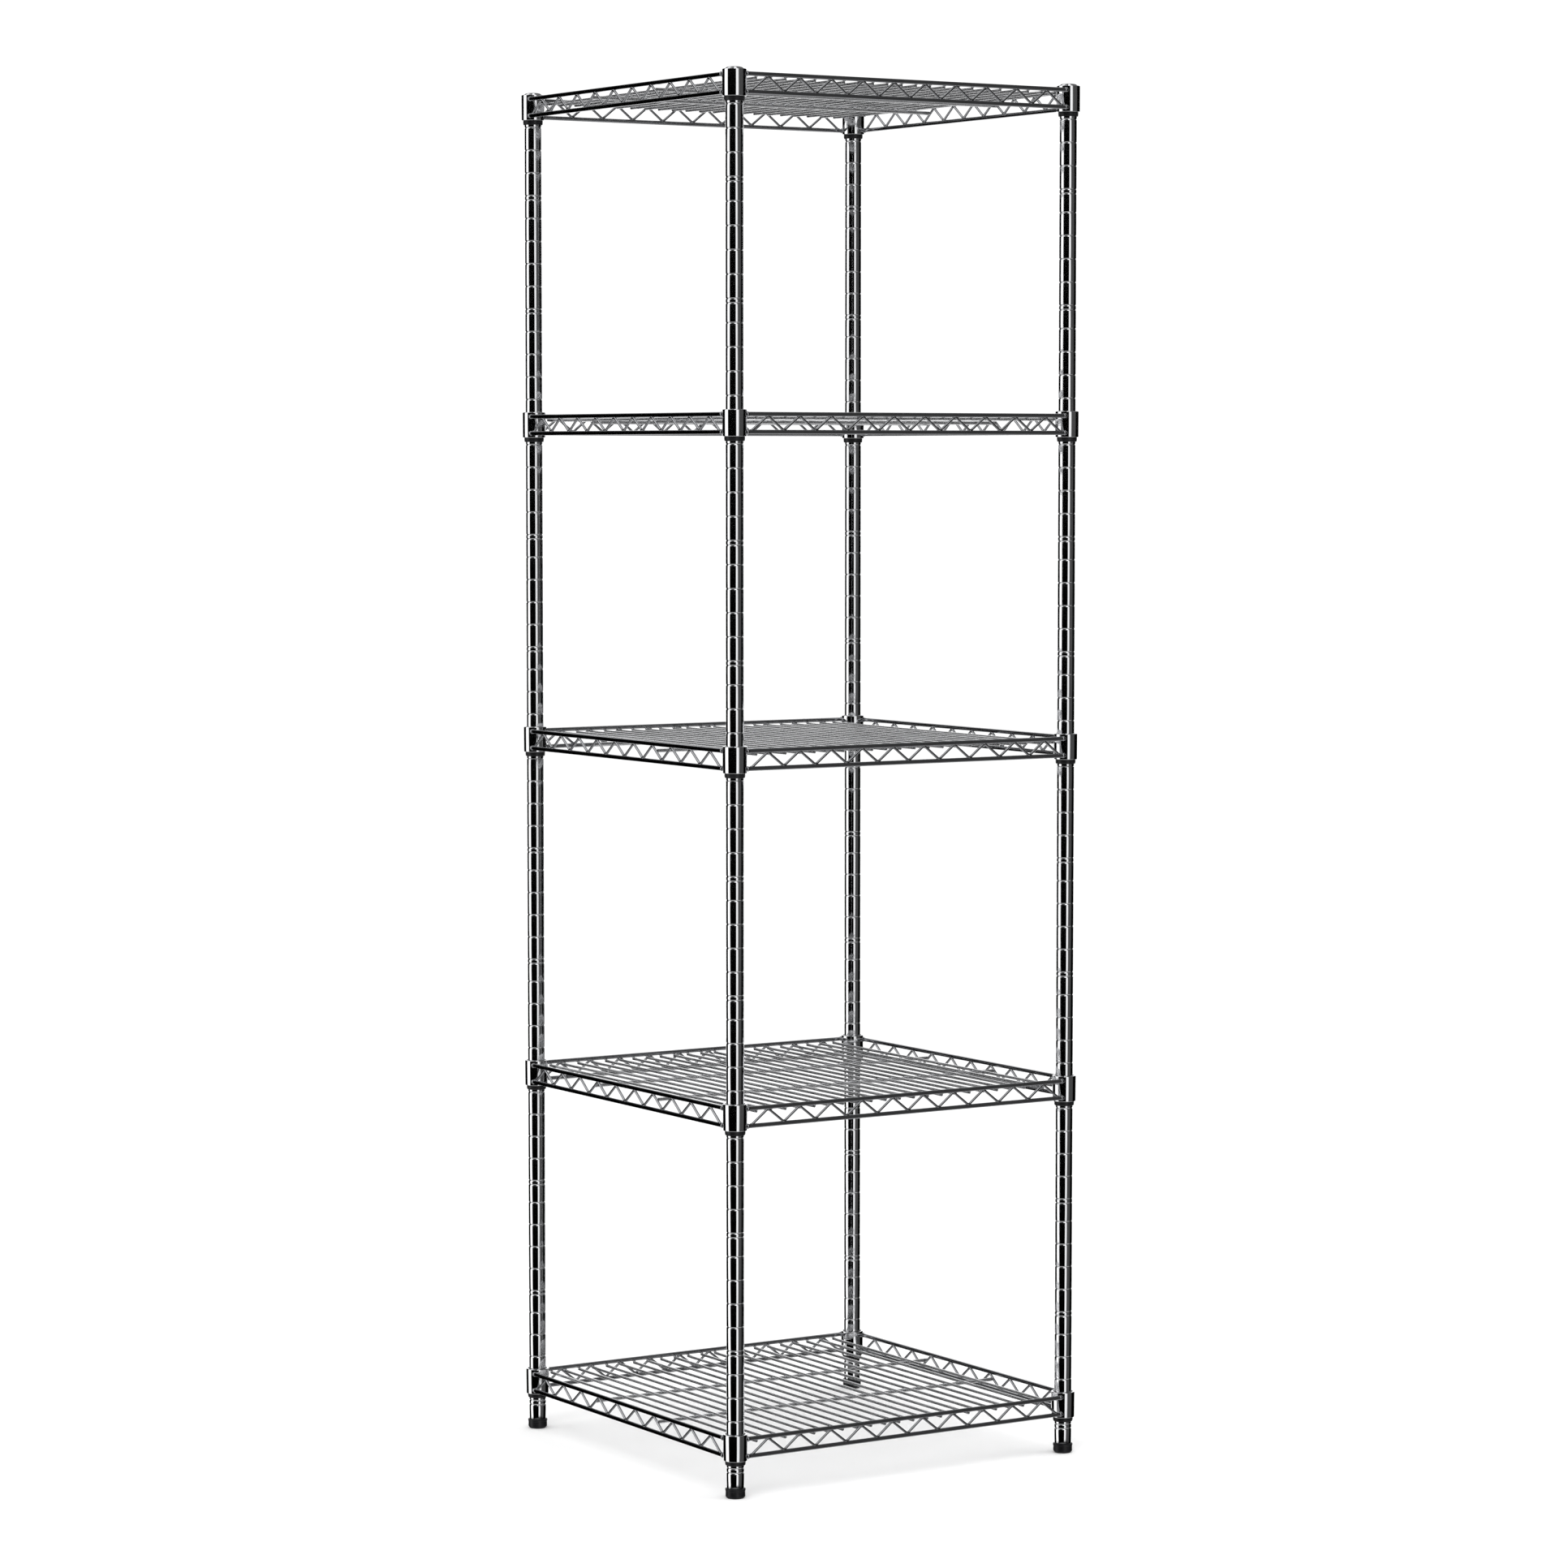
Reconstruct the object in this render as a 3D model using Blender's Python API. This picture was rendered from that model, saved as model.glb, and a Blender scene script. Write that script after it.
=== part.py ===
"""Chrome wire shelving rack, nominally 450 x 450 x 1500 mm, with five tiers.

Four tube posts, each in two joined sections, carry five welded wire shelves on tapered
split sleeves. Every post ends in a domed cap and a screw-adjusted levelling foot.
Metres, +Z up. The origin is on the floor, in the middle of the footprint. +Y is the rear.
"""

from math import tau

import bmesh
import bpy
from mathutils import Matrix, Vector

MM = 0.001
GAP = 0.3 * MM  # clearance between pieces that touch on the real rack
WELD = 1.0 * MM  # how deep welded pieces run into each other

SIDES = 12  # of every round piece, so that pieces inside each other keep an even gap
SHARP_ANGLE = tau / 10

# Corners: the post centres form a square.
POST_SPACING = 424 * MM
HALF_SPACING = POST_SPACING / 2
CORNERS = {
    "front_left": (-HALF_SPACING, -HALF_SPACING),
    "front_right": (HALF_SPACING, -HALF_SPACING),
    "rear_left": (-HALF_SPACING, HALF_SPACING),
    "rear_right": (HALF_SPACING, HALF_SPACING),
}

# Posts: 19 mm tube in two sections. The sleeves can be set every 25 mm.
POST_RADIUS = 9.5 * MM
POST_BORE = 8.5 * MM
LEVEL_PITCH = 25 * MM
JOINT_HEIGHT = 757 * MM

# Levelling feet.
PAD_HEIGHT = 10.5 * MM
PAD_RADIUS = 10.8 * MM
PAD_CHAMFER = 1.2 * MM
POCKET_DEPTH = 6 * MM
STEM_RADIUS = 3.9 * MM
STEM_TOP = 34 * MM
INSERT_LENGTH = 20 * MM
INSERT_BORE = STEM_RADIUS + GAP

# Shelves, counted from the floor. A shelf's level is the bottom edge of its sleeves.
LOWEST_LEVEL = 35 * MM
STEPS_BETWEEN_LEVELS = (14, 15, 14, 14)

# Split sleeve, and the tapered collar that wedges on it.
SLEEVE_TOP = 31 * MM
SLEEVE_FOOT_RADIUS = 10.2 * MM
SLEEVE_WIDE_RADIUS = 10.9 * MM
SLEEVE_WIDE_HEIGHT = 2.4 * MM
SLEEVE_NARROW_RADIUS = 10.3 * MM
SLEEVE_BORE = POST_RADIUS + GAP
SLEEVE_TURN = tau * (SIDES - 1) / SIDES  # the slit is the rest of the circle
COLLAR_RADIUS = 13 * MM
COLLAR_BOTTOM = 4.8 * MM
COLLAR_TOP = 33 * MM
COLLAR_WIDE_BORE = SLEEVE_WIDE_RADIUS + 0.45 * MM
COLLAR_NARROW_BORE = SLEEVE_NARROW_RADIUS + GAP

# Side trusses: two rods with a zigzag between them.
TRUSS_OFFSET = 8.8 * MM  # outwards from the line between the post centres
TRUSS_THICKNESS = 4 * MM
ROD_HEIGHT = 4.5 * MM
TOP_ROD_HEIGHT = 28 * MM
BOTTOM_ROD_HEIGHT = 9.5 * MM
ZIGZAG_PERIODS = 10
ZIGZAG_START = 15.5 * MM  # from the post centre to the first bend
ZIGZAG_HALF_WIDTH = 2 * MM  # of a sloping leg, measured along the rods
ZIGZAG_TIP = 0.25 * MM  # from a rod to the point of an opening

# Deck: wires from front to back, level with the undersides of the top rods, on two cross rods.
DECK_WIRES = 22
DECK_PITCH = 18.1 * MM
WIRE_SIZE = 3 * MM
CROSS_ROD_SIZE = 4 * MM
CROSS_ROD_PLACES = (-0.3, 0.3)  # as shares of the way from the middle to a truss

# Caps and the studs that join the two sections of a post.
CAP_RADIUS = 10.2 * MM
CAP_RIM = 2.4 * MM
CAP_DOME = 2.4 * MM
CAP_SHOULDER = 0.7  # of the cap's radius and of the dome's height, where its slope changes
PLUG_RADIUS = POST_BORE - GAP
PLUG_DEPTH = 15 * MM
STUD_HALF_LENGTH = 20 * MM

MATERIALS = {  # base colour, roughness, metallic
    "chrome": ((0.80, 0.80, 0.82, 1), 0.12, 1.0),
    "zinc_steel": ((0.62, 0.62, 0.60, 1), 0.35, 1.0),
    "black_plastic": ((0.02, 0.02, 0.022, 1), 0.45, 0.0),
}

LEVELS = [
    LOWEST_LEVEL + LEVEL_PITCH * sum(STEPS_BETWEEN_LEVELS[:i])
    for i in range(len(STEPS_BETWEEN_LEVELS) + 1)
]
POST_BOTTOM = PAD_HEIGHT + GAP
POST_TOP = LEVELS[-1] + SLEEVE_TOP + GAP
TRUSS_PLANE = HALF_SPACING + TRUSS_OFFSET
DECK_TOP = TOP_ROD_HEIGHT - ROD_HEIGHT / 2 - GAP
DECK_BOTTOM = DECK_TOP - WIRE_SIZE
DECK_REACH = TRUSS_PLANE - TRUSS_THICKNESS / 2 - GAP


def clear_scene():
    for thing in list(bpy.data.objects):
        bpy.data.objects.remove(thing)


def make_materials():
    for name, (colour, roughness, metallic) in MATERIALS.items():
        material = bpy.data.materials.new(name)
        material.use_nodes = True
        shader = material.node_tree.nodes["Principled BSDF"]
        shader.inputs["Base Color"].default_value = colour
        shader.inputs["Roughness"].default_value = roughness
        shader.inputs["Metallic"].default_value = metallic


def finish(shape, name):
    """The mesh of a bmesh shape, with its faces turned outwards."""
    bmesh.ops.recalc_face_normals(shape, faces=shape.faces)
    mesh = bpy.data.meshes.new(name)
    shape.to_mesh(mesh)
    shape.free()
    return mesh


def place(name, mesh, material, location=(0, 0, 0)):
    """A named object that shows the mesh at a location."""
    mesh.shade_smooth()
    mesh.set_sharp_from_angle(angle=SHARP_ANGLE)
    if not mesh.materials:
        mesh.materials.append(bpy.data.materials[material])
    thing = bpy.data.objects.new(name, mesh)
    thing.location = location
    bpy.context.scene.collection.objects.link(thing)
    return thing


def add_turned(shape, outline, turn=tau, centre=(0, 0)):
    """Adds the closed outline of (radius, height) points turned about a vertical axis.

    A part turn gets a flat face at each end.
    """
    whole = turn == tau
    sides = round(SIDES * turn / tau)
    rings = []
    for step in range(sides if whole else sides + 1):
        spin = Matrix.Rotation(tau * step / SIDES, 3, "Z")
        points = [spin @ Vector((radius, 0, height)) for radius, height in outline]
        rings.append([shape.verts.new(point + Vector((*centre, 0))) for point in points])
    for step in range(sides):
        here, after = rings[step], rings[(step + 1) % len(rings)]
        for i in range(len(outline)):
            shape.faces.new((here[i - 1], here[i], after[i], after[i - 1]))
    if not whole:
        shape.faces.new(rings[0])
        shape.faces.new(rings[-1])
    bmesh.ops.remove_doubles(shape, verts=shape.verts, dist=0.001 * MM)


def turned_mesh(name, outline, turn=tau):
    shape = bmesh.new()
    add_turned(shape, outline, turn)
    return finish(shape, name)


def add_box(shape, low, high):
    size = Vector(high) - Vector(low)
    centre = (Vector(high) + Vector(low)) / 2
    placed = Matrix.Translation(centre) @ Matrix.Diagonal((*size, 1))
    bmesh.ops.create_cube(shape, size=1, matrix=placed)


def combined_mesh(name, body, steps):
    """The mesh of body after a Boolean with each (operation, mesh) of steps."""
    base = bpy.data.objects.new(name, body)
    bpy.context.scene.collection.objects.link(base)
    helpers = [base]
    for operation, mesh in steps:
        tool = bpy.data.objects.new(f"{name}_{operation.lower()}", mesh)
        bpy.context.scene.collection.objects.link(tool)
        helpers.append(tool)
        boolean = base.modifiers.new(operation, "BOOLEAN")
        boolean.operation = operation
        boolean.object = tool
    graph = bpy.context.evaluated_depsgraph_get()
    result = bpy.data.meshes.new_from_object(base.evaluated_get(graph))
    result.name = name
    for helper in helpers:
        bpy.data.objects.remove(helper)
    return result


def tube_outline(bore, radius, bottom, top):
    return [(bore, bottom), (radius, bottom), (radius, top), (bore, top)]


def make_posts():
    sections = {
        "lower": (POST_BOTTOM, JOINT_HEIGHT),
        "upper": (JOINT_HEIGHT + GAP, POST_TOP),
    }
    for section, (bottom, top) in sections.items():
        wall = tube_outline(POST_BORE, POST_RADIUS, bottom, top)
        tube = turned_mesh(f"post_{section}", wall)
        for corner, spot in CORNERS.items():
            place(f"post_{section}_{corner}", tube, "chrome", (*spot, 0))


def make_studs():
    rod = tube_outline(0, PLUG_RADIUS, -STUD_HALF_LENGTH, STUD_HALF_LENGTH)
    stud = turned_mesh("post_stud", rod)
    for corner, spot in CORNERS.items():
        place(f"post_stud_{corner}", stud, "zinc_steel", (*spot, JOINT_HEIGHT))


def make_caps():
    """Domed caps: a plug in the tube, a rim that rests on it, and a low dome."""
    cap = turned_mesh(
        "post_cap",
        [
            (0, -PLUG_DEPTH),
            (PLUG_RADIUS, -PLUG_DEPTH),
            (PLUG_RADIUS, GAP),
            (CAP_RADIUS, GAP),
            (CAP_RADIUS, CAP_RIM),
            (CAP_RADIUS * CAP_SHOULDER, CAP_RIM + CAP_DOME * CAP_SHOULDER),
            (0, CAP_RIM + CAP_DOME),
        ],
    )
    for corner, spot in CORNERS.items():
        place(f"post_cap_{corner}", cap, "chrome", (*spot, POST_TOP))


def make_feet():
    """A threaded insert in each post, the stem that turns in it, and the pad on the floor."""
    pocket_floor = PAD_HEIGHT - POCKET_DEPTH
    insert_top = POST_BOTTOM + INSERT_LENGTH
    bush = tube_outline(INSERT_BORE, PLUG_RADIUS, POST_BOTTOM, insert_top)
    insert = turned_mesh("foot_insert", bush)
    rod = tube_outline(0, STEM_RADIUS, pocket_floor + GAP, STEM_TOP)
    stem = turned_mesh("foot_stem", rod)
    pad = turned_mesh(
        "foot_pad",
        [
            (0, 0),
            (PAD_RADIUS - PAD_CHAMFER, 0),
            (PAD_RADIUS, PAD_CHAMFER),
            (PAD_RADIUS, PAD_HEIGHT),
            (INSERT_BORE, PAD_HEIGHT),
            (INSERT_BORE, pocket_floor),
            (0, pocket_floor),
        ],
    )
    for corner, spot in CORNERS.items():
        place(f"foot_insert_{corner}", insert, "black_plastic", (*spot, 0))
        place(f"foot_stem_{corner}", stem, "zinc_steel", (*spot, 0))
        place(f"foot_pad_{corner}", pad, "black_plastic", (*spot, 0))


def make_sleeves():
    """Split sleeves round the posts: wide below and narrow above, so that a collar wedges."""
    sleeve = turned_mesh(
        "sleeve",
        [
            (SLEEVE_BORE, 0),
            (SLEEVE_FOOT_RADIUS, 0),
            (SLEEVE_WIDE_RADIUS, SLEEVE_WIDE_HEIGHT),
            (SLEEVE_NARROW_RADIUS, SLEEVE_TOP),
            (SLEEVE_BORE, SLEEVE_TOP),
        ],
        SLEEVE_TURN,
    )
    for number, level in enumerate(LEVELS, 1):
        for corner, spot in CORNERS.items():
            place(f"sleeve_{number}_{corner}", sleeve, "black_plastic", (*spot, level))


def zigzag_holes():
    """The triangular openings of a truss, as points of (along, height) from its middle."""
    start = ZIGZAG_START - HALF_SPACING
    step = -start / ZIGZAG_PERIODS
    low = BOTTOM_ROD_HEIGHT + ROD_HEIGHT / 2
    high = TOP_ROD_HEIGHT - ROD_HEIGHT / 2
    leg = step / (TOP_ROD_HEIGHT - BOTTOM_ROD_HEIGHT)  # sideways run for each metre of height
    inset = ZIGZAG_HALF_WIDTH + leg * ROD_HEIGHT / 2
    holes = []
    for i in range(ZIGZAG_PERIODS):
        left = start + 2 * step * i
        right = left + 2 * step
        point = (left + step, high - ZIGZAG_TIP)
        holes.append([(left + inset, low), (right - inset, low), point])
    for i in range(1, ZIGZAG_PERIODS):
        middle = start + 2 * step * i
        point = (middle, low + ZIGZAG_TIP)
        holes.append([point, (middle + step - inset, high), (middle - step + inset, high)])
    end = HALF_SPACING - TRUSS_OFFSET
    for side in (-1, 1):
        inner = side * (-start - step + inset)
        outer = -side * start
        point = (outer, low + ZIGZAG_TIP)
        holes.append([(side * end, low), point, (inner, high), (side * end, high)])
    return holes


def add_truss(shape, spin):
    """Adds one truss: a flat lattice between two collars, turned about the rack's axis."""
    bottom = BOTTOM_ROD_HEIGHT - ROD_HEIGHT / 2
    top = TOP_ROD_HEIGHT + ROD_HEIGHT / 2
    end = HALF_SPACING - TRUSS_OFFSET + WELD
    front = -TRUSS_PLANE - TRUSS_THICKNESS / 2
    edge = [(-end, bottom), (end, bottom), (end, top), (-end, top)]
    lattice = bmesh.new()
    for loop in [edge, *zigzag_holes()]:
        corners = [lattice.verts.new((along, front, height)) for along, height in loop]
        for i in range(len(corners)):
            lattice.edges.new((corners[i - 1], corners[i]))
    bmesh.ops.triangle_fill(lattice, use_beauty=True, edges=lattice.edges)
    made = bmesh.ops.extrude_face_region(lattice, geom=lattice.faces[:])
    moved = [part for part in made["geom"] if isinstance(part, bmesh.types.BMVert)]
    bmesh.ops.translate(lattice, verts=moved, vec=(0, TRUSS_THICKNESS, 0))
    bmesh.ops.rotate(lattice, verts=lattice.verts, matrix=Matrix.Rotation(spin, 3, "Z"))
    mesh = finish(lattice, "truss")
    shape.from_mesh(mesh)
    bpy.data.meshes.remove(mesh)


def make_frames():
    """Welded shelf frames: four tapered collars joined by four trusses."""
    collars = bmesh.new()
    bores = bmesh.new()
    trusses = bmesh.new()
    for spot in CORNERS.values():
        barrel = tube_outline(0, COLLAR_RADIUS, COLLAR_BOTTOM, COLLAR_TOP)
        bore = [
            (0, COLLAR_BOTTOM - WELD),
            (COLLAR_WIDE_BORE, COLLAR_BOTTOM - WELD),
            (COLLAR_NARROW_BORE, COLLAR_TOP + WELD),
            (0, COLLAR_TOP + WELD),
        ]
        add_turned(collars, barrel, centre=spot)
        add_turned(bores, bore, centre=spot)
    for quarter in range(4):
        add_truss(trusses, tau * quarter / 4)
    frame = combined_mesh(
        "shelf_frame",
        finish(collars, "collars"),
        [("UNION", finish(trusses, "trusses")), ("DIFFERENCE", finish(bores, "bores"))],
    )
    for number, level in enumerate(LEVELS, 1):
        place(f"shelf_{number}_frame", frame, "chrome", (0, 0, level))


def make_decks():
    """Welded decks: wires from the front truss to the rear one, on two cross rods."""
    wires = bmesh.new()
    rods = bmesh.new()
    half = WIRE_SIZE / 2
    for i in range(DECK_WIRES):
        x = (i - (DECK_WIRES - 1) / 2) * DECK_PITCH
        add_box(wires, (x - half, -DECK_REACH, DECK_BOTTOM), (x + half, DECK_REACH, DECK_TOP))
    rod_top = DECK_BOTTOM + WELD
    for share in CROSS_ROD_PLACES:
        y = share * TRUSS_PLANE
        low = (-DECK_REACH, y - CROSS_ROD_SIZE / 2, rod_top - CROSS_ROD_SIZE)
        high = (DECK_REACH, y + CROSS_ROD_SIZE / 2, rod_top)
        add_box(rods, low, high)
    weld = ("UNION", finish(rods, "rods"))
    deck = combined_mesh("shelf_deck", finish(wires, "wires"), [weld])
    for number, level in enumerate(LEVELS, 1):
        place(f"shelf_{number}_deck", deck, "chrome", (0, 0, level))


clear_scene()
make_materials()
make_posts()
make_studs()
make_caps()
make_feet()
make_sleeves()
make_frames()
make_decks()
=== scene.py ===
"""Looks of the chrome wire shelving rack: fine meshes, materials, studio and camera.

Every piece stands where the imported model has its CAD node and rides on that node's body.
Metres, +Z up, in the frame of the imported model.
"""

from math import atan2, cos, pi, radians, sin, sqrt, tau

import bmesh
import bpy
from mathutils import Matrix, Vector


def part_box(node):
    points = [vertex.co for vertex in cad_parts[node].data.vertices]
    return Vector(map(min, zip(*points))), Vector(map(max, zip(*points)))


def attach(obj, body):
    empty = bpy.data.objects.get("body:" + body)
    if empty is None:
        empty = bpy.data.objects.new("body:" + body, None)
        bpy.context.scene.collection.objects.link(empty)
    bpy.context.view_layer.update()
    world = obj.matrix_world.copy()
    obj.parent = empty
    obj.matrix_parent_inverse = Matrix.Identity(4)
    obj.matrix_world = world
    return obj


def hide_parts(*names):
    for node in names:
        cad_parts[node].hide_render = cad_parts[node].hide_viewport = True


MM = 0.001

# Repeated from the CAD model, where the frame doesn't say it.
POST_BORE = 8.5 * MM
LEVEL_PITCH = 25 * MM
COLLAR_BORE_BELOW = 11.2 * MM
COLLAR_BORE_ABOVE = 10.7 * MM
TRUSS_OFFSET = 8.8 * MM
TOP_ROD_HEIGHT = 28 * MM
BOTTOM_ROD_HEIGHT = 9.5 * MM
ZIGZAG_PERIODS = 10
ZIGZAG_START = 15.5 * MM
DECK_WIRES = 22
DECK_PITCH = 18.1 * MM
CROSS_ROD_PLACES = (-0.3, 0.3)
STEM_BORE = 4.2 * MM
PLUG_RADIUS = 8.2 * MM
THREAD_PITCH = 1.25 * MM

# Fineness of the meshes.
ROUND_SIDES = 56  # of a turned piece
WIRE_SIDES = 12
ZIGZAG_SIDES = 10
THREAD_SIDES = 24
CORNER_STEPS = 4  # of a rounded corner in an outline
BEND_STEPS = 5  # of a bend in a wire
DOME_STEPS = 10
GROOVE_STEPS = 4  # from a groove's edge to its middle
THREAD_STEPS = 8  # for each turn
MERGE_DISTANCE = 0.002 * MM
SHARP_ANGLE = radians(40)

# Detail that the CAD model leaves out.
TUBE_CHAMFER = 0.4 * MM
GROOVE_DEPTH = 0.5 * MM
GROOVE_HALF_WIDTH = 1.1 * MM
MARK_SPACING = 5  # every fifth groove has a second one close below it
MARK_DROP = 4.7 * MM
CAP_GAP = 0.3 * MM  # between a post's top and its cap's rim
CAP_RIM_HEIGHT = 2.2 * MM
CAP_STEP = 0.9 * MM  # from the rim in to the dome
STUD_THREAD_DEPTH = 0.7 * MM
STEM_THREAD_DEPTH = 0.6 * MM
THREAD_TAPER = 1.2 * MM  # length of the tapered end
THREAD_SLOPE = 1.35  # above 1, crests stay flat
STEM_GAP = 0.3 * MM  # below a stem, inside its pad
SLEEVE_GAP = 0.25 * MM  # between a post and its sleeve
RIB_HEIGHT = 22 * MM  # above the sleeve's bottom edge: the groove that carries the shelf
RIB_REACH = 0.5 * MM
SLIT_HALF_ANGLE = radians(5)
SLIT_MIDDLE = radians(-15)
ROD_RADIUS = 2.35 * MM
ZIGZAG_RADIUS = 1.4 * MM
ZIGZAG_BEND = 3.2 * MM  # bend radius on the wire's centre line
ZIGZAG_OVERLAP = 1.6 * MM  # from a rod's middle to where two legs of the zigzag would meet
ZIGZAG_LAP = 3 * MM  # how far its ends run on along the bottom rod
ZIGZAG_BEAD = (2.6 * MM, 1.75 * MM, 1.0 * MM)
DECK_WIRE_RADIUS = 1.6 * MM
DECK_WIRE_END = 1.5 * MM  # from the middle of the front or rear rod
DECK_RISE = 0.3 * MM  # of the round wires above the square ones of the CAD model
CROSS_ROD_RADIUS = 2.0 * MM
CROSS_ROD_BEAD = (1.6 * MM, 2.4 * MM, 2.0 * MM)
CROSSING_BEAD = (1.9 * MM, 1.9 * MM, 0.75 * MM)
WIRE_END_BEAD = (1.9 * MM, 1.5 * MM, 0.8 * MM)
COLLAR_BEAD = (2.7 * MM, 2.7 * MM, 2.9 * MM)
COLLAR_BEAD_SHIFT = (0.4 * MM, 0.5 * MM)  # away from the collar, and outwards
ROD_END_DEPTH = 1.0 * MM  # of the rods' ends below the collars' surface
WELD_SINK = 0.35 * MM  # how far welded wires run into each other
WIRE_CHAMFER = 0.3  # of the wire's radius
BEAD_LUMPS = 0.09  # of the bead's size

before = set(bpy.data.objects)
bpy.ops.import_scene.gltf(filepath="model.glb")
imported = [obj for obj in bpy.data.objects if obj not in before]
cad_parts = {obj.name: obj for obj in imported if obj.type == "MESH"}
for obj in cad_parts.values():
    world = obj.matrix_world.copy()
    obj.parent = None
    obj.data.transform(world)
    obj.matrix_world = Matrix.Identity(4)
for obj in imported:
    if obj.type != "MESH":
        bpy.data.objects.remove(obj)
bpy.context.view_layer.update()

CORNERS = ("front_left", "front_right", "rear_left", "rear_right")
SHELVES = range(1, 6)


def middle(node):
    low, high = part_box(node)
    return (low + high) / 2


POST_PLACE = {corner: middle(f"post_lower_{corner}").xy for corner in CORNERS}
HALF_SPACING = POST_PLACE["front_right"].x
TRUSS_PLANE = HALF_SPACING + TRUSS_OFFSET
LEVEL = {number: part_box(f"sleeve_{number}_front_left")[0].z for number in SHELVES}


def half_width(node):
    low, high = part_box(node)
    return (high.x - low.x) / 2


POST_RADIUS = half_width("post_lower_front_left")
COLLAR_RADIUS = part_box("shelf_1_frame")[1].x - HALF_SPACING
JOINT_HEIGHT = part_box("post_lower_front_left")[1].z


# ---------------------------------------------------------------- mesh helpers


def add_tube(shape, rings):
    """Joins equal rings of points into a tube and closes both its ends with a fan."""
    loops = [[shape.verts.new(point) for point in ring] for ring in rings]
    for here, after in zip(loops, loops[1:]):
        for i in range(len(here)):
            shape.faces.new((here[i - 1], here[i], after[i], after[i - 1]))
    for loop in (loops[0], loops[-1]):
        hub = shape.verts.new(sum((vert.co for vert in loop), Vector()) / len(loop))
        for i in range(len(loop)):
            shape.faces.new((loop[i - 1], loop[i], hub))


def add_turned(shape, outline, centre=(0, 0), start=0.0, turn=tau):
    """Turns a closed outline of (radius, height) about a vertical axis.

    A part turn gets a flat face at each end. Points at radius 0 are merged.
    """
    whole = turn == tau
    loops = []
    for step in range(ROUND_SIDES if whole else ROUND_SIDES + 1):
        angle = start + turn * step / ROUND_SIDES
        across = Vector((cos(angle), sin(angle), 0))
        loops.append(
            [
                shape.verts.new(across * radius + Vector((*centre, height)))
                for radius, height in outline
            ]
        )
    for step in range(ROUND_SIDES):
        here, after = loops[step], loops[(step + 1) % len(loops)]
        for i in range(len(outline)):
            shape.faces.new((here[i - 1], here[i], after[i], after[i - 1]))
    if not whole:
        shape.faces.new(loops[0])
        shape.faces.new(loops[-1])
    bmesh.ops.remove_doubles(shape, verts=shape.verts, dist=MERGE_DISTANCE)


def rounded(points):
    """A closed outline from (radius, height, corner radius) points, its corners made arcs."""
    outline = []
    for i, (x, y, size) in enumerate(points):
        here = Vector((x, y))
        if not size:
            outline.append((x, y))
            continue
        before = (Vector(points[i - 1][:2]) - here).normalized()
        after = (Vector(points[(i + 1) % len(points)][:2]) - here).normalized()
        half = before.angle(after) / 2
        reach = size / sin(half) * cos(half)
        hub = here + (before + after).normalized() * (size / sin(half))
        first = here + before * reach - hub
        last = here + after * reach - hub
        swing = first.angle_signed(last)
        for step in range(CORNER_STEPS + 1):
            spin = Matrix.Rotation(-swing * step / CORNER_STEPS, 2)
            outline.append(tuple(hub + spin @ first))
    return outline


def bent_path(points, bend):
    """The points of a flat wire's centre line, each inner corner made an arc of radius bend."""
    path = [points[0]]
    for before, here, after in zip(points, points[1:], points[2:]):
        back = (before - here).normalized()
        ahead = (after - here).normalized()
        half = back.angle(ahead) / 2
        hub = here + (back + ahead).normalized() * (bend / sin(half))
        first = here + back * (bend / sin(half) * cos(half)) - hub
        last = here + ahead * (bend / sin(half) * cos(half)) - hub
        swing = first.rotation_difference(last)
        for step in range(BEND_STEPS + 1):
            share = swing.copy()
            share.angle = swing.angle * step / BEND_STEPS
            path.append(hub + share @ first)
    path.append(points[-1])
    return path


def add_wire(shape, path, radius, sides=WIRE_SIDES):
    """Sweeps a circle along a flat path, with both ends chamfered."""
    path = [Vector(point) for point in path]
    for end, inner in ((0, 1), (-1, -2)):
        ahead = (path[inner] - path[end]).normalized() * radius * WIRE_CHAMFER
        path.insert(1 if end == 0 else len(path) - 1, path[end] + ahead)
    normal = None
    rings = []
    for i, point in enumerate(path):
        ahead = path[min(i + 1, len(path) - 1)] - path[max(i - 1, 0)]
        ahead.normalize()
        if normal is None:
            normal = ahead.cross(Vector((0, 0, 1)))
            if normal.length < 0.1:
                normal = ahead.cross(Vector((0, 1, 0)))
        normal = (normal - ahead * normal.dot(ahead)).normalized()
        across = ahead.cross(normal)
        size = radius * (1 - WIRE_CHAMFER) if i in (0, len(path) - 1) else radius
        rings.append(
            [
                point + size * (normal * cos(tau * k / sides) + across * sin(tau * k / sides))
                for k in range(sides)
            ]
        )
    add_tube(shape, rings)


def add_bead(shape, place, size, seed=0):
    """A weld bead: a small lumpy ellipsoid."""
    made = bmesh.ops.create_icosphere(shape, subdivisions=2, radius=1)
    for vert in made["verts"]:
        lump = sin(5 * vert.co.x + seed) * cos(4 * vert.co.y + 2 * seed) * sin(4 * vert.co.z + seed)
        vert.co *= 1 + BEAD_LUMPS * lump
        vert.co = Vector(a * b for a, b in zip(vert.co, size)) + Vector(place)


def piece(name, mesh, material, body, node, place):
    """Shows a mesh as a piece that rides on body and stands for a CAD node.

    The first piece of a mesh gives it the material, unless it has its own.
    """
    thing = bpy.data.objects.new(name, mesh)
    thing.location = place
    bpy.context.scene.collection.objects.link(thing)
    if not mesh.materials:
        mesh.materials.append(material)
    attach(thing, body)
    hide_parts(node)


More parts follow.
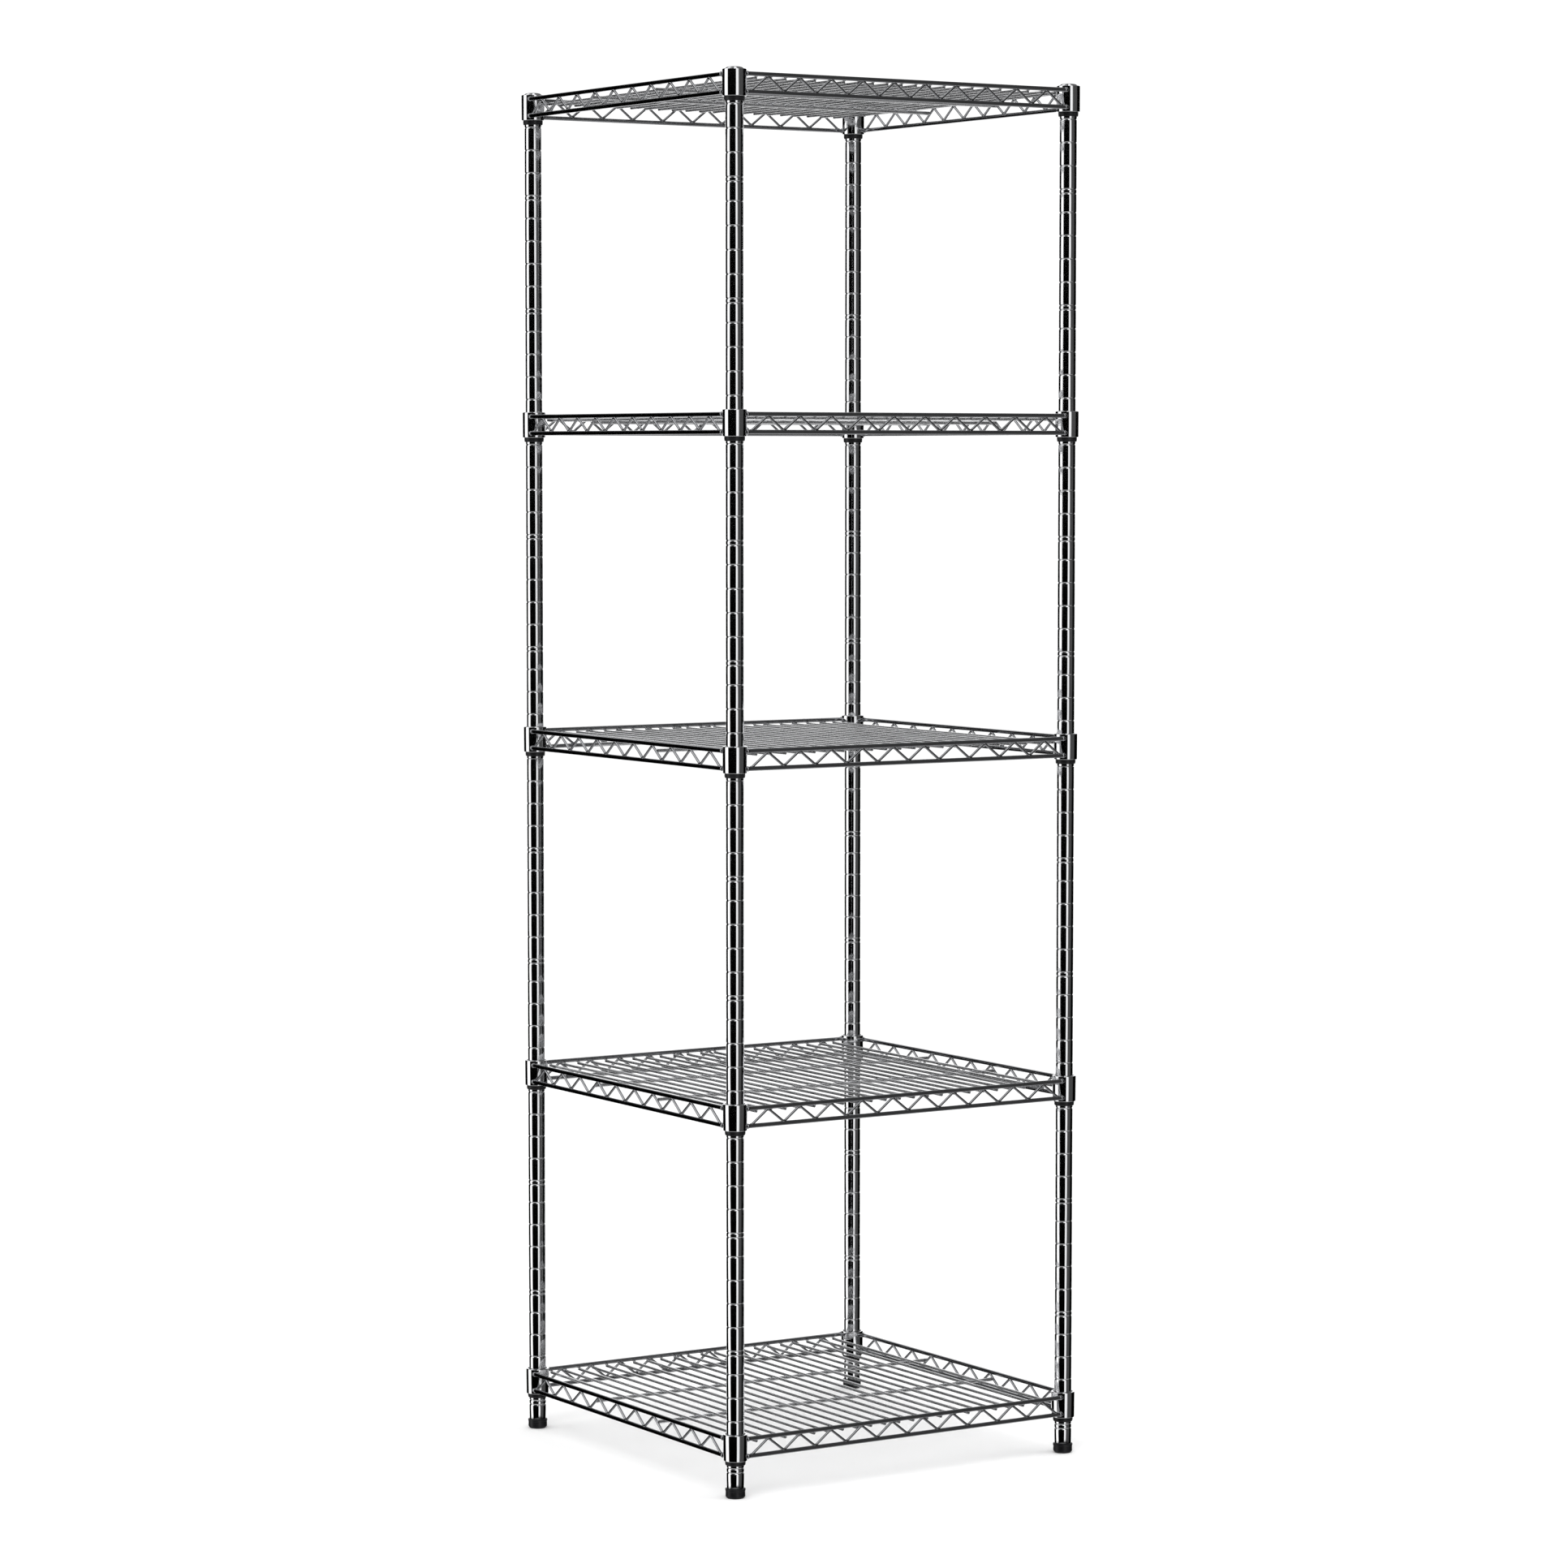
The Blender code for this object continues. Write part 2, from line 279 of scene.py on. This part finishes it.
def ready(name, shape):
    """The smooth-shaded mesh of a bmesh, its faces turned outwards."""
    bmesh.ops.recalc_face_normals(shape, faces=shape.faces)
    mesh = bpy.data.meshes.new(name)
    shape.to_mesh(mesh)
    shape.free()
    mesh.shade_smooth()
    mesh.set_sharp_from_angle(angle=SHARP_ANGLE)
    return mesh


# ------------------------------------------------------------------- materials


def new_material(slot, name=None):
    """A material for one of the record's slots, or for the floor."""
    material = bpy.data.materials.new(f"fine_{name or slot}")
    material["slot"] = slot
    material.use_nodes = True
    tree = material.node_tree
    return material, tree, tree.nodes["Principled BSDF"]


def own_coordinates(tree, stretch=(1, 1, 1)):
    """The piece's own coordinates, shifted by its random number so that copies differ."""
    coordinates = tree.nodes.new("ShaderNodeTexCoord")
    number = tree.nodes.new("ShaderNodeObjectInfo")
    shift = tree.nodes.new("ShaderNodeVectorMath")
    shift.operation = "ADD"
    scale = tree.nodes.new("ShaderNodeVectorMath")
    scale.operation = "MULTIPLY"
    scale.inputs[1].default_value = stretch
    tree.links.new(coordinates.outputs["Object"], shift.inputs[0])
    tree.links.new(number.outputs["Random"], shift.inputs[1])
    tree.links.new(shift.outputs[0], scale.inputs[0])
    return scale.outputs[0]


def noise(tree, vector, scale, detail=3.0):
    """Noise of about scale lumps in a metre."""
    texture = tree.nodes.new("ShaderNodeTexNoise")
    texture.inputs["Scale"].default_value = scale
    texture.inputs["Detail"].default_value = detail
    tree.links.new(vector, texture.inputs["Vector"])
    return texture.outputs["Fac"]


def ramp(tree, value, stops):
    """A colour ramp of (position, colour or grey) stops."""
    node = tree.nodes.new("ShaderNodeValToRGB")
    elements = node.color_ramp.elements
    while len(elements) < len(stops):
        elements.new(0.5)
    for element, (position, colour) in zip(elements, stops):
        element.position = position
        element.color = (*colour, 1) if isinstance(colour, tuple) else (colour, colour, colour, 1)
    tree.links.new(value, node.inputs["Fac"])
    return node.outputs["Color"]


def mixed(tree, share, first, second):
    """A mix of two colours. The node has a pair of sockets for each kind of value."""
    node = tree.nodes.new("ShaderNodeMix")
    node.data_type = "RGBA"
    first_colour, second_colour, mixed_colour = node.inputs[6], node.inputs[7], node.outputs[2]
    tree.links.new(share, node.inputs["Factor"])
    tree.links.new(first, first_colour)
    tree.links.new(second, second_colour)
    return mixed_colour


def bump(tree, shader, height, distance):
    """Makes a height from 0 to 1 a relief, distance deep."""
    node = tree.nodes.new("ShaderNodeBump")
    node.inputs["Distance"].default_value = distance
    tree.links.new(height, node.inputs["Height"])
    tree.links.new(node.outputs["Normal"], shader.inputs["Normal"])


def make_chrome(slot, colour, haze_tone, roughness, stretch, waviness, name=None):
    """Plating: a faint haze in patches, drawn or polishing lines, and slight waviness.

    The haze darkens the colour to haze_tone of it. The lines lie at right angles to the largest
    axes of stretch, and equal axes give spots. They vary the roughness by about a third.
    """
    material, tree, shader = new_material(slot, name)
    shader.inputs["Metallic"].default_value = 1.0
    plain = own_coordinates(tree)
    haze = noise(tree, plain, scale=28.0)
    hazed = tuple(part * haze_tone for part in colour)
    tree.links.new(ramp(tree, haze, [(0.3, hazed), (0.62, colour)]), shader.inputs["Base Color"])
    lines = noise(tree, own_coordinates(tree, stretch), scale=260.0, detail=2.0)
    rough = tree.nodes.new("ShaderNodeMath")
    rough.operation = "MULTIPLY_ADD"
    factor, least = rough.inputs[1], rough.inputs[2]
    factor.default_value = roughness
    least.default_value = roughness * 0.45
    tree.links.new(lines, rough.inputs[0])
    tree.links.new(rough.outputs[0], shader.inputs["Roughness"])
    bump(tree, shader, noise(tree, plain, scale=70.0, detail=1.0), waviness)
    return material


def make_plastic():
    """Moulded black plastic: fine grain, and scuffs that are a little lighter and smoother."""
    material, tree, shader = new_material("black_plastic")
    plain = own_coordinates(tree)
    scuffs = noise(tree, plain, scale=90.0, detail=4.0)
    colours = [(0.35, (0.004, 0.004, 0.005)), (0.75, (0.014, 0.014, 0.015))]
    tree.links.new(ramp(tree, scuffs, colours), shader.inputs["Base Color"])
    shader.inputs["Specular IOR Level"].default_value = 0.28
    roughness = ramp(tree, scuffs, [(0.3, 0.42), (0.7, 0.3)])
    tree.links.new(roughness, shader.inputs["Roughness"])
    bump(tree, shader, noise(tree, plain, scale=2600.0, detail=2.0), distance=0.05 * MM)
    return material


def make_zinc():
    """Zinc plate on a cut thread: a mottled grey, with faint yellow and blue."""
    material, tree, shader = new_material("zinc_steel")
    shader.inputs["Metallic"].default_value = 1.0
    plain = own_coordinates(tree)
    mottle = noise(tree, plain, scale=180.0, detail=4.0)
    colours = [(0.3, (0.50, 0.50, 0.47)), (0.5, (0.62, 0.62, 0.60)), (0.7, (0.66, 0.68, 0.70))]
    tree.links.new(ramp(tree, mottle, colours), shader.inputs["Base Color"])
    tree.links.new(ramp(tree, mottle, [(0.3, 0.42), (0.7, 0.26)]), shader.inputs["Roughness"])
    bump(tree, shader, noise(tree, plain, scale=900.0), distance=0.04 * MM)
    return material


CHROME = make_chrome(
    "chrome",
    colour=(0.86, 0.865, 0.88),
    haze_tone=0.93,
    roughness=0.075,
    stretch=(1, 1, 6),
    waviness=0.03 * MM,
)
# Rods and zigzags: the same chrome plating with its colour about halved. The darker colour is
# painted shade that makes the thin wires read nearly black.
PAINTED_SHADE_CHROME = make_chrome(
    "chrome",
    colour=(0.44, 0.445, 0.46),
    haze_tone=0.93,
    roughness=0.09,
    stretch=(1, 1, 1),
    waviness=0.03 * MM,
    name="painted_shade_wire_chrome",
)
DECK_CHROME = make_chrome(
    "deck_chrome",
    colour=(0.90, 0.905, 0.92),
    haze_tone=0.92,
    roughness=0.28,
    stretch=(1, 0.1, 1),
    waviness=0.04 * MM,
)
CAP_CHROME = make_chrome(
    "cap_chrome",
    colour=(0.86, 0.865, 0.88),
    haze_tone=0.95,
    roughness=0.06,
    stretch=(1, 1, 1),
    waviness=0.02 * MM,
)
ZINC = make_zinc()
PLASTIC = make_plastic()


# ----------------------------------------------------------------------- posts


def groove_heights():
    """Heights of all grooves: one for each 25 mm level, and the marks of every fifth."""
    heights = []
    reach = round(JOINT_HEIGHT / LEVEL_PITCH)
    for step in range(-reach, reach + 1):
        if step == 0:
            continue
        heights.append(JOINT_HEIGHT + step * LEVEL_PITCH)
        counted = step if step > 0 else step - 1
        if counted % MARK_SPACING == 0:
            heights.append(heights[-1] - MARK_DROP)
    return sorted(heights)


def post_outline(bottom, top):
    """A tube wall's outline, with rounded ends and every groove that lies on it."""
    curve = [(TUBE_CHAMFER, 0), (TUBE_CHAMFER / 3, TUBE_CHAMFER / 3), (0, TUBE_CHAMFER)]
    margin = 3 * GROOVE_HALF_WIDTH
    outer = [(POST_RADIUS - inwards, bottom + along) for inwards, along in curve]
    for height in groove_heights():
        if not bottom + margin < height < top - margin:
            continue
        for step in range(-GROOVE_STEPS, GROOVE_STEPS + 1):
            share = step / GROOVE_STEPS
            depth = GROOVE_DEPTH * (1 + cos(pi * share)) / 2
            outer.append((POST_RADIUS - depth, height + share * GROOVE_HALF_WIDTH))
    outer += [(POST_RADIUS - inwards, top - along) for inwards, along in reversed(curve)]
    return [*outer, (POST_BORE, top), (POST_BORE, bottom)]


def make_posts():
    """The lower and upper tube of each post."""
    for section in ("lower", "upper"):
        low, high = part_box(f"post_{section}_front_left")
        shape = bmesh.new()
        add_turned(shape, post_outline(low.z, high.z))
        mesh = ready(f"post_{section}_tube", shape)
        for corner in CORNERS:
            name = f"post_{section}_tube_{corner}"
            place = (*POST_PLACE[corner], 0)
            piece(name, mesh, CHROME, "posts", f"post_{section}_{corner}", place)


def make_caps():
    """Smooth domed caps, their plugs inside the posts."""
    low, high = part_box("post_cap_front_left")
    rim = half_width("post_cap_front_left")
    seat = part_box("post_upper_front_left")[1].z + CAP_GAP
    dome_start = seat + CAP_RIM_HEIGHT
    dome = []
    for step in range(DOME_STEPS + 1):
        angle = pi / 2 * step / DOME_STEPS
        radius = (rim - CAP_STEP) * cos(angle)
        dome.append((radius, dome_start + (high.z - dome_start) * sin(angle)))
    outline = [
        (0, low.z),
        (PLUG_RADIUS - 0.6 * MM, low.z),
        (PLUG_RADIUS, low.z + 1.2 * MM),
        (PLUG_RADIUS, seat),
        (rim - 0.4 * MM, seat),
        (rim - 0.1 * MM, seat + 0.15 * MM),
        (rim, seat + 0.5 * MM),
        (rim, seat + 1.5 * MM),
        (rim - 0.25 * MM, seat + 2.0 * MM),
        *dome,
    ]
    shape = bmesh.new()
    add_turned(shape, outline)
    mesh = ready("domed_cap", shape)
    for corner in CORNERS:
        name = f"domed_cap_{corner}"
        piece(name, mesh, CAP_CHROME, "posts", f"post_cap_{corner}", (*POST_PLACE[corner], 0))


def add_thread(shape, bottom, top, radius, depth):
    """A threaded rod: rings whose radius follows a right-hand helix, tapered at both ends."""
    rings = []
    count = round((top - bottom) / THREAD_PITCH * THREAD_STEPS)
    for step in range(count + 1):
        height = bottom + (top - bottom) * step / count
        end_distance = min(height - bottom, top - height)
        taper = min(1.0, end_distance / THREAD_TAPER)
        ring = []
        for k in range(THREAD_SIDES):
            phase = (height / THREAD_PITCH - k / THREAD_SIDES) % 1.0
            cut = depth * (1 - min(1.0, THREAD_SLOPE * abs(2 * phase - 1)))
            size = radius - max(cut, depth * (1 - taper))
            angle = tau * k / THREAD_SIDES
            ring.append((size * cos(angle), size * sin(angle), height))
        rings.append(ring)
    add_tube(shape, rings)


def make_studs():
    """Threaded studs that join the two tubes of each post."""
    low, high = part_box("post_stud_front_left")
    shape = bmesh.new()
    add_thread(shape, low.z, high.z, half_width("post_stud_front_left"), STUD_THREAD_DEPTH)
    mesh = ready("threaded_stud", shape)
    for corner in CORNERS:
        name = f"threaded_stud_{corner}"
        piece(name, mesh, ZINC, "posts", f"post_stud_{corner}", (*POST_PLACE[corner], 0))


def make_feet():
    """Levelling feet: the insert in the post, the threaded stem and the pad."""
    pad_low, pad_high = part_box("foot_pad_front_left")
    pad_radius = half_width("foot_pad_front_left")
    stem_low, stem_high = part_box("foot_stem_front_left")
    bush_low, bush_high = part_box("foot_insert_front_left")
    pad_outline = rounded(
        [
            (0, 0, 0),
            (pad_radius - 1.9 * MM, 0, 0.4 * MM),
            (pad_radius - 0.25 * MM, 2.0 * MM, 1.2 * MM),
            (pad_radius - 0.35 * MM, pad_high.z - 2.9 * MM, 0.3 * MM),
            (pad_radius, pad_high.z - 2.3 * MM, 0.3 * MM),
            (pad_radius, pad_high.z - 0.7 * MM, 0.4 * MM),
            (pad_radius - 0.9 * MM, pad_high.z, 0.4 * MM),
            (STEM_BORE, pad_high.z, 0.3 * MM),
            (STEM_BORE, stem_low.z - STEM_GAP, 0),
            (0, stem_low.z - STEM_GAP, 0),
        ]
    )
    bush_outline = rounded(
        [
            (STEM_BORE, bush_low.z, 0.3 * MM),
            (PLUG_RADIUS, bush_low.z, 0.4 * MM),
            (PLUG_RADIUS, bush_high.z, 0.8 * MM),
            (STEM_BORE, bush_high.z, 0.3 * MM),
        ]
    )
    pad, bush, stem = bmesh.new(), bmesh.new(), bmesh.new()
    add_turned(pad, pad_outline)
    add_turned(bush, bush_outline)
    stem_radius = half_width("foot_stem_front_left")
    add_thread(stem, stem_low.z, stem_high.z, stem_radius, STEM_THREAD_DEPTH)
    pad, bush, stem = ready("foot_shoe", pad), ready("foot_bush", bush), ready("foot_screw", stem)
    for corner in CORNERS:
        place = (*POST_PLACE[corner], 0)
        screw = f"foot_screw_{corner}"
        piece(f"foot_bush_{corner}", bush, PLASTIC, "posts", f"foot_insert_{corner}", place)
        piece(screw, stem, ZINC, screw, f"foot_stem_{corner}", place)
        piece(f"foot_shoe_{corner}", pad, PLASTIC, f"foot_{corner}", f"foot_pad_{corner}", place)


def make_sleeves():
    """Split sleeves with a rounded foot, and the rib inside that holds them in a groove."""
    low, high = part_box("sleeve_1_front_left")
    top = high.z - low.z
    wide = half_width("sleeve_1_front_left")
    bore = POST_RADIUS + SLEEVE_GAP
    outline = [
        (bore, 0.5 * MM),
        (bore + 0.25 * MM, 0),
        (wide - 0.75 * MM, 0),
        (wide - 0.35 * MM, 0.35 * MM),
        (wide - 0.1 * MM, 1.2 * MM),
        (wide, 2.4 * MM),
        (wide, 4.0 * MM),
        (wide - 0.25 * MM, 8 * MM),
        (wide - 0.55 * MM, top - 0.4 * MM),
        (wide - 0.85 * MM, top),
        (bore, top),
        (bore, RIB_HEIGHT + 0.9 * MM),
        (bore - RIB_REACH, RIB_HEIGHT + 0.4 * MM),
        (bore - RIB_REACH, RIB_HEIGHT - 0.4 * MM),
        (bore, RIB_HEIGHT - 0.9 * MM),
    ]
    shape = bmesh.new()
    start = SLIT_MIDDLE + SLIT_HALF_ANGLE
    add_turned(shape, outline, start=start, turn=tau - 2 * SLIT_HALF_ANGLE)
    mesh = ready("split_sleeve", shape)
    for number in SHELVES:
        for corner in CORNERS:
            node = f"sleeve_{number}_{corner}"
            place = (*POST_PLACE[corner], LEVEL[number])
            piece(f"split_sleeve_{number}_{corner}", mesh, PLASTIC, "posts", node, place)


# --------------------------------------------------------------------- shelves


def add_collar(shape, centre):
    """A collar with rolled rims and a bore that narrows upwards."""
    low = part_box("shelf_1_frame")[0].z - LEVEL[1]
    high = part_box("shelf_1_frame")[1].z - LEVEL[1]
    outline = rounded(
        [
            (COLLAR_BORE_BELOW, low, 0.25 * MM),
            (COLLAR_RADIUS - 0.15 * MM, low, 0.7 * MM),
            (COLLAR_RADIUS, high, 0.8 * MM),
            (COLLAR_BORE_ABOVE, high, 0.25 * MM),
        ]
    )
    add_turned(shape, outline, centre)


def add_rod(shape, height, spin):
    """A truss rod whose ends are cut to the round of the collars, inside their walls."""
    inside = COLLAR_RADIUS - ROD_END_DEPTH
    rings = []
    for side in (-1, 1):
        ring = []
        for k in range(WIRE_SIDES):
            out = TRUSS_OFFSET + ROD_RADIUS * cos(tau * k / WIRE_SIDES)
            up = height + ROD_RADIUS * sin(tau * k / WIRE_SIDES)
            along = side * (HALF_SPACING - sqrt(inside**2 - out**2))
            ring.append(spin @ Vector((along, -HALF_SPACING - out, up)))
        rings.append(ring)
    add_tube(shape, rings)


def add_zigzag(shape, spin):
    """The zigzag wire between the two rods, with a bead at each bend."""
    low, high = BOTTOM_ROD_HEIGHT + ZIGZAG_OVERLAP, TOP_ROD_HEIGHT - ZIGZAG_OVERLAP
    start = ZIGZAG_START - HALF_SPACING
    step = -start / ZIGZAG_PERIODS
    points = [(start + step * i, high if i % 2 else low) for i in range(2 * ZIGZAG_PERIODS + 1)]
    end, end_height = -start + ZIGZAG_LAP, low - ZIGZAG_LAP / 3
    points = [(-end, end_height), *points, (end, end_height)]
    bends = [spin @ Vector((along, -TRUSS_PLANE, height)) for along, height in points]
    add_wire(shape, bent_path(bends, ZIGZAG_BEND), ZIGZAG_RADIUS, ZIGZAG_SIDES)
    for i, (along, height) in enumerate(points[1:-1]):
        inwards = (0.5 - i % 2) * MM  # up from a bottom bend, down from a top one
        place = spin @ Vector((along, -TRUSS_PLANE, height + inwards))
        size = spin @ Vector(ZIGZAG_BEAD)
        add_bead(shape, place, (abs(size.x), abs(size.y), size.z), seed=i)


def add_collar_welds(shape, spin):
    """The beads where the rods meet the collars."""
    away, outwards = COLLAR_BEAD_SHIFT
    along = HALF_SPACING - sqrt(COLLAR_RADIUS**2 - TRUSS_OFFSET**2) - away
    for side in (-1, 1):
        for height in (BOTTOM_ROD_HEIGHT, TOP_ROD_HEIGHT):
            place = spin @ Vector((side * along, -TRUSS_PLANE - outwards, height))
            add_bead(shape, place, COLLAR_BEAD, seed=side + height / MM)


def make_frames():
    """Welded frames: four collars in bright chrome, and four trusses in the same chrome with its
    colour darkened as painted shade.
    """
    shape = bmesh.new()
    for place in POST_PLACE.values():
        add_collar(shape, place)
    collar_faces = len(shape.faces)
    for quarter in range(4):
        spin = Matrix.Rotation(tau * quarter / 4, 3, "Z")
        add_rod(shape, BOTTOM_ROD_HEIGHT, spin)
        add_rod(shape, TOP_ROD_HEIGHT, spin)
        add_zigzag(shape, spin)
        add_collar_welds(shape, spin)
    # The truss faces get the second material: chrome darkened by painted shade.
    for face in list(shape.faces)[collar_faces:]:
        face.material_index = 1
    mesh = ready("welded_frame", shape)
    mesh.materials.append(CHROME)
    mesh.materials.append(PAINTED_SHADE_CHROME)
    for number in SHELVES:
        name = f"welded_frame_{number}"
        place = (0, 0, LEVEL[number])
        piece(name, mesh, CHROME, f"shelf_{number}", f"shelf_{number}_frame", place)


def make_decks():
    """Deck wires under the front and rear rods, with two cross rods welded under the wires."""
    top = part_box("shelf_1_deck")[1].z - LEVEL[1] + DECK_RISE
    wire_height = top - DECK_WIRE_RADIUS
    rod_height = wire_height - DECK_WIRE_RADIUS - CROSS_ROD_RADIUS + WELD_SINK
    reach = TRUSS_PLANE - DECK_WIRE_END
    shape = bmesh.new()
    rows = [share * TRUSS_PLANE for share in CROSS_ROD_PLACES]
    for y in rows:
        end = TRUSS_PLANE - ZIGZAG_RADIUS + WELD_SINK
        ends = [Vector((side * end, y, rod_height)) for side in (-1, 1)]
        add_wire(shape, ends, CROSS_ROD_RADIUS)
        for place in ends:
            add_bead(shape, place, CROSS_ROD_BEAD, seed=y)
    for i in range(DECK_WIRES):
        x = (i - (DECK_WIRES - 1) / 2) * DECK_PITCH
        add_wire(shape, [(x, -reach, wire_height), (x, reach, wire_height)], DECK_WIRE_RADIUS)
        for y in rows:
            place = (x, y, wire_height - DECK_WIRE_RADIUS)
            add_bead(shape, place, CROSSING_BEAD, seed=i)
        for y in (-reach, reach):
            add_bead(shape, (x, y, top), WIRE_END_BEAD, seed=i)
    mesh = ready("wire_deck", shape)
    for number in SHELVES:
        name = f"wire_deck_{number}"
        place = (0, 0, LEVEL[number])
        piece(name, mesh, DECK_CHROME, f"shelf_{number}", f"shelf_{number}_deck", place)


make_posts()
make_caps()
make_studs()
make_feet()
make_sleeves()
make_frames()
make_decks()


# ---------------------------------------------------------------------- studio

VIEW_YAW = radians(32.36)  # the camera looks this far to the right of +Y
VIEW_PITCH = radians(4.02)  # and this far down
CAMERA_TURN = radians(32.52)  # from the rack's front to the camera's side of it
CAMERA_DISTANCE = 5.165  # from the rack's axis
CAMERA_HEIGHT = 1.096
CAMERA_PLACE = Vector(
    (-CAMERA_DISTANCE * sin(CAMERA_TURN), -CAMERA_DISTANCE * cos(CAMERA_TURN), CAMERA_HEIGHT)
)
LENS = 107.6
SENSOR = 36.0
CLIP = (0.05, 200)
FLOOR_RADIUS = 45
SOFTBOX_SIZE = 2.5
LIGHT_TARGET = Vector((0, 0, 0.75))
GLOSS_LIGHT = 1.35  # strength of the panels
PLAIN_LIGHT = 1.1  # of the white that lights matt surfaces


def make_camera():
    """A long lens, a little above the rack's middle and to the left of its front."""
    data = bpy.data.cameras.new("camera")
    data.lens = LENS
    data.sensor_width = SENSOR
    data.clip_start, data.clip_end = CLIP
    camera = bpy.data.objects.new("camera", data)
    camera.location = CAMERA_PLACE
    camera.rotation_euler = (pi / 2 - VIEW_PITCH, 0, -VIEW_YAW)
    bpy.context.scene.collection.objects.link(camera)
    bpy.context.scene.camera = camera


def make_floor():
    """A wide pale floor with a very faint mottle. The chrome reflects the studio, not the floor."""
    shape = bmesh.new()
    bmesh.ops.create_circle(shape, cap_ends=True, segments=96, radius=FLOOR_RADIUS)
    floor = bpy.data.objects.new("studio_floor", ready("studio_floor", shape))
    bpy.context.scene.collection.objects.link(floor)
    material, tree, shader = new_material("studio_floor")
    shader.inputs["Roughness"].default_value = 0.9
    shader.inputs["Specular IOR Level"].default_value = 0.1
    mottle = noise(tree, own_coordinates(tree), scale=3.0)
    colour = ramp(tree, mottle, [(0.3, (0.95, 0.95, 0.95)), (0.7, (0.965, 0.965, 0.965))])
    tree.links.new(colour, shader.inputs["Base Color"])
    floor.data.materials.append(material)
    floor.visible_glossy = False


# What the chrome sees all round the rack: degrees of turn from the camera's own side of the
# rack, counted to the camera's right, and brightness. Black between the panels.
PANELS = (  # standing panels, from 30 degrees below the horizon to 27 above it
    (-180, 0.9),
    (-152, 0.9),
    (-147, 0.0),
    (-102, 0.0),
    (-97, 1.0),
    (-68, 1.0),
    (-62, 0.0),
    (14, 0.0),
    (20, 0.85),
    (36, 0.7),
    (44, 0.05),
    (84, 0.05),
    (94, 0.0),
    (147, 0.0),
    (152, 0.9),
    (180, 0.9),
)
OVERHEAD_PANELS = (  # softboxes above them
    (-180, 0.4),
    (-150, 0.4),
    (-138, 0.06),
    (-110, 0.06),
    (-98, 0.9),
    (-66, 0.9),
    (-56, 0.06),
    (-8, 0.06),
    (0, 1.0),
    (30, 1.0),
    (40, 0.06),
    (138, 0.06),
    (150, 0.4),
    (180, 0.4),
)


# By height, from 0 straight down to 1 straight up: the brightness of the floor's panel, and the
# shares of the standing and the overhead panels.
FLOOR_LIGHT = ((0.0, 0.42), (0.12, 0.34), (0.22, 0.0))
PANEL_SHARE = ((0.22, 0.0), (0.28, 1.0))
OVERHEAD_SHARE = ((0.70, 0.0), (0.76, 1.0))


def make_world():
    """White for the camera, soft white light for matt surfaces, panels and flags for gloss."""
    world = bpy.data.worlds.new("studio")
    bpy.context.scene.world = world
    world.use_nodes = True
    tree = world.node_tree
    tree.nodes.clear()
    coordinates = tree.nodes.new("ShaderNodeTexCoord")
    toward_camera = atan2(CAMERA_PLACE.y, CAMERA_PLACE.x)
    turned = tree.nodes.new("ShaderNodeVectorRotate")
    turned.rotation_type = "Z_AXIS"
    turned.inputs["Angle"].default_value = -toward_camera
    tree.links.new(coordinates.outputs["Generated"], turned.inputs["Vector"])
    around = tree.nodes.new("ShaderNodeTexGradient")
    around.gradient_type = "RADIAL"
    tree.links.new(turned.outputs["Vector"], around.inputs["Vector"])
    panels, overhead = (
        ramp(tree, around.outputs["Fac"], [((turn + 180) / 360, light) for turn, light in row])
        for row in (PANELS, OVERHEAD_PANELS)
    )
    # The direction's height, brought from -1..1 to 0..1.
    parts = tree.nodes.new("ShaderNodeSeparateXYZ")
    tree.links.new(coordinates.outputs["Generated"], parts.inputs[0])
    half_up = tree.nodes.new("ShaderNodeMath")
    half_up.operation = "MULTIPLY_ADD"
    half_up.inputs[1].default_value = 0.5
    half_up.inputs[2].default_value = 0.5
    tree.links.new(parts.outputs["Z"], half_up.inputs[0])
    height = half_up.outputs[0]
    floor_light = ramp(tree, height, FLOOR_LIGHT)
    standing = mixed(tree, ramp(tree, height, PANEL_SHARE), floor_light, panels)
    banded = mixed(tree, ramp(tree, height, OVERHEAD_SHARE), standing, overhead)
    gloss = tree.nodes.new("ShaderNodeBackground")
    gloss.inputs["Strength"].default_value = GLOSS_LIGHT
    tree.links.new(banded, gloss.inputs["Color"])
    plain = tree.nodes.new("ShaderNodeBackground")
    plain.inputs["Color"].default_value = (1, 1, 1, 1)
    plain.inputs["Strength"].default_value = PLAIN_LIGHT
    rays = tree.nodes.new("ShaderNodeLightPath")
    chosen = tree.nodes.new("ShaderNodeMixShader")
    tree.links.new(rays.outputs["Is Glossy Ray"], chosen.inputs["Fac"])
    tree.links.new(plain.outputs[0], chosen.inputs[1])
    tree.links.new(gloss.outputs[0], chosen.inputs[2])
    output = tree.nodes.new("ShaderNodeOutputWorld")
    tree.links.new(chosen.outputs[0], output.inputs["Surface"])


def make_light(name, place, power):
    """A square softbox that faces the middle of the rack. Gloss doesn't see it."""
    data = bpy.data.lights.new(name, "AREA")
    data.energy = power
    data.size = SOFTBOX_SIZE
    light = bpy.data.objects.new(name, data)
    light.location = place
    light.rotation_euler = (LIGHT_TARGET - Vector(place)).to_track_quat("-Z", "Y").to_euler()
    light.visible_glossy = False
    bpy.context.scene.collection.objects.link(light)


make_camera()
make_floor()
make_world()
make_light("key_softbox", place=(-3.0, -2.4, 3.6), power=60)
make_light("fill_softbox", place=(3.2, -1.6, 2.6), power=30)
bpy.context.scene.view_settings.view_transform = "Standard"
